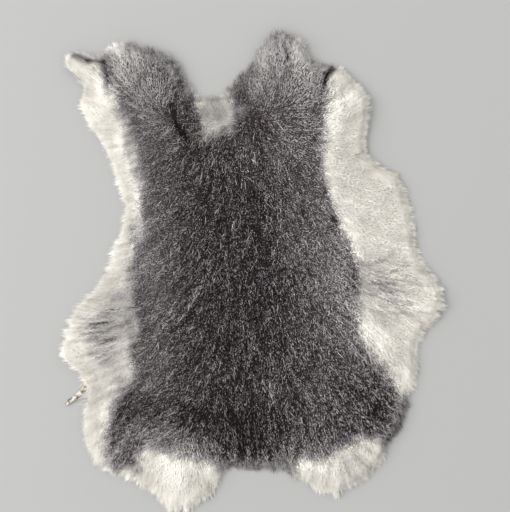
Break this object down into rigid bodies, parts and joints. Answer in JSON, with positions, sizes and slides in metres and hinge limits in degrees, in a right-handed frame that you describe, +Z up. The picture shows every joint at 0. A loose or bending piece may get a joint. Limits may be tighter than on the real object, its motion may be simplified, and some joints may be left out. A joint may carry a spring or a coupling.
{
  "type": "rabbit skin pelt",
  "caption": "Tanned rabbit skin with its fur on, lying flat fur side up, with an irregular outline, two shoulder lobes and hind tufts.",
  "frame": {"origin": "middle of the flat patch of skin on the underside that the pelt rests on", "axes": "+Z up out of the fur, +Y from the tail end to the head end, +X to the right seen from above"},
  "size_m": [0.3272, 0.4108, 0.0227],
  "materials": {
    "grey_fur": "grey agouti fur with dark roots and pale ticked tips, matt",
    "white_fur": "fine cream white fur, matt with a soft sheen",
    "tanned_skin": "pale suede flesh side, matt"
  },
  "bodies": {
    "root": {"rabbit_pelt": "grey_fur"}
  },
  "joints": []
}
